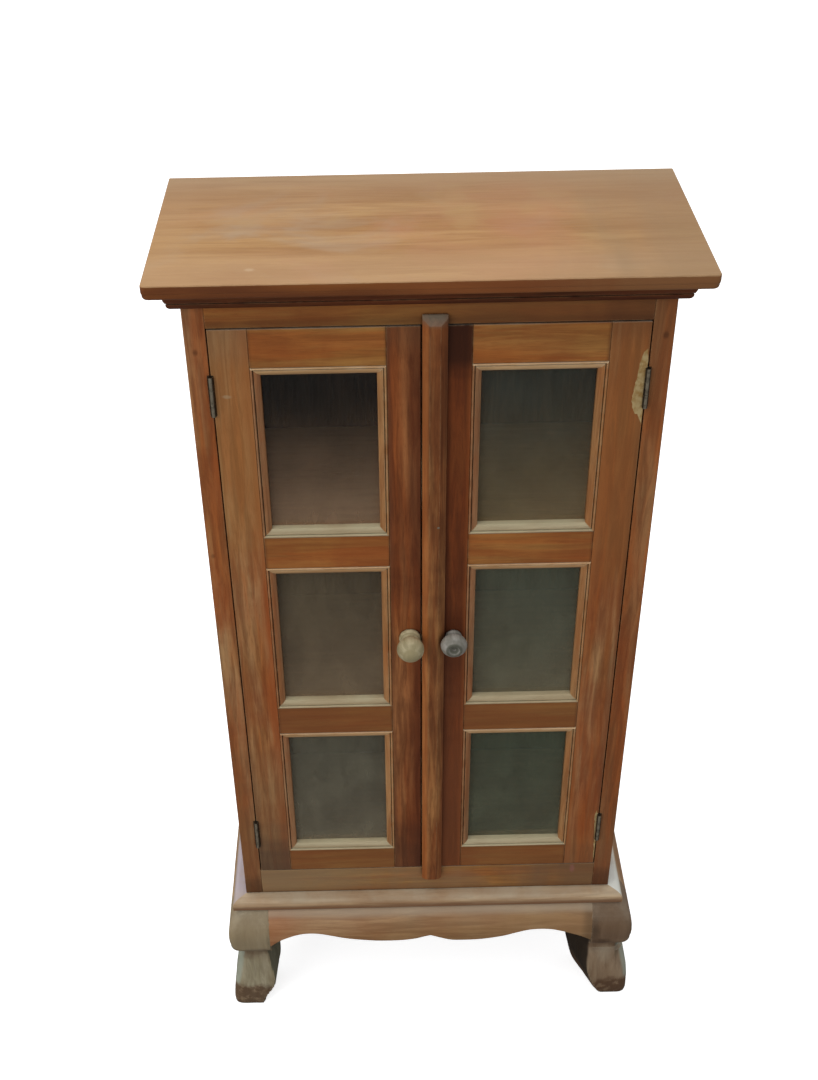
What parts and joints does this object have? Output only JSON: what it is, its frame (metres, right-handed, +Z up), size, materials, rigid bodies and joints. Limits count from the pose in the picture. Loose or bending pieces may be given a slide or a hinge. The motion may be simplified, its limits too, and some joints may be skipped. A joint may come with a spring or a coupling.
{
  "type": "display case",
  "caption": "Small free-standing wooden display case with two glazed inset doors, fixed shelves and a stand with cabriole legs.",
  "frame": {"origin": "on the floor, below the middle of the case; the stand stands 3 mm to the right under it, so the middle of the overall box is 1.5 mm to the right", "axes": "+X to the viewer's right along the front, +Y from the front to the back, +Z up"},
  "size_m": [0.456, 0.2204, 0.911],
  "materials": {
    "top_wood": "worn waxed",
    "moulding_wood": "worn waxed",
    "case_wood": "worn waxed",
    "stile_wood": "worn waxed",
    "door_rail_wood": "worn waxed",
    "bead_wood": "dry, dusty",
    "stand_wood": "worn, dusty",
    "plain_wood": "dry, sawn",
    "knob_wood": "dry, worn",
    "plywood": "dry, sawn",
    "pane_glass": "dusty",
    "hinge_iron": "dark, aged"
  },
  "bodies": {
    "case": {"apron_back": "plain_wood", "apron_front": "stand_wood", "apron_left": "stand_wood", "apron_right": "stand_wood", "back_panel": "plywood", "base_nosing_front": "stand_wood", "base_nosing_left": "stand_wood", "base_nosing_right": "stand_wood", "bottom_rail": "case_wood", "cornice_front": "moulding_wood", "cornice_left": "moulding_wood", "cornice_right": "moulding_wood", "floor_board": "plain_wood", "hinge_left_case_leaves": "hinge_iron", "hinge_right_case_leaves": "hinge_iron", "leg_front_left": "stand_wood", "leg_front_right": "stand_wood", "leg_rear_left": "stand_wood", "leg_rear_right": "stand_wood", "lower_shelf": "plain_wood", "side_left": "case_wood", "side_right": "case_wood", "top_board": "top_wood", "top_rail": "case_wood", "upper_shelf": "plain_wood"},
    "left_door": {"hinge_left_door_leaves": "hinge_iron", "left_door_beads_lower": "bead_wood", "left_door_beads_middle": "bead_wood", "left_door_beads_upper": "bead_wood", "left_door_bottom_rail": "door_rail_wood", "left_door_closing_stile": "stile_wood", "left_door_glass_lower": "pane_glass", "left_door_glass_middle": "pane_glass", "left_door_glass_upper": "pane_glass", "left_door_knob": "knob_wood", "left_door_lower_middle_rail": "door_rail_wood", "left_door_outer_stile": "stile_wood", "left_door_top_rail": "door_rail_wood", "left_door_upper_middle_rail": "door_rail_wood"},
    "right_door": {"hinge_right_door_leaves": "hinge_iron", "meeting_strip": "stile_wood", "right_door_beads_lower": "bead_wood", "right_door_beads_middle": "bead_wood", "right_door_beads_upper": "bead_wood", "right_door_bottom_rail": "door_rail_wood", "right_door_closing_stile": "stile_wood", "right_door_glass_lower": "pane_glass", "right_door_glass_middle": "pane_glass", "right_door_glass_upper": "pane_glass", "right_door_knob": "knob_wood", "right_door_lower_middle_rail": "door_rail_wood", "right_door_outer_stile": "stile_wood", "right_door_top_rail": "door_rail_wood", "right_door_upper_middle_rail": "door_rail_wood"}
  },
  "joints": [
    {"name": "left_door_hinge", "type": "hinge", "parent": "case", "child": "left_door", "pos_m": [-0.1815, -0.0815, 0.5275], "axis": [0, 0, -1], "range_deg": [0, 170]},
    {"name": "right_door_hinge", "type": "hinge", "parent": "case", "child": "right_door", "pos_m": [0.1815, -0.0815, 0.5275], "axis": [0, 0, 1], "range_deg": [0, 170]}
  ]
}
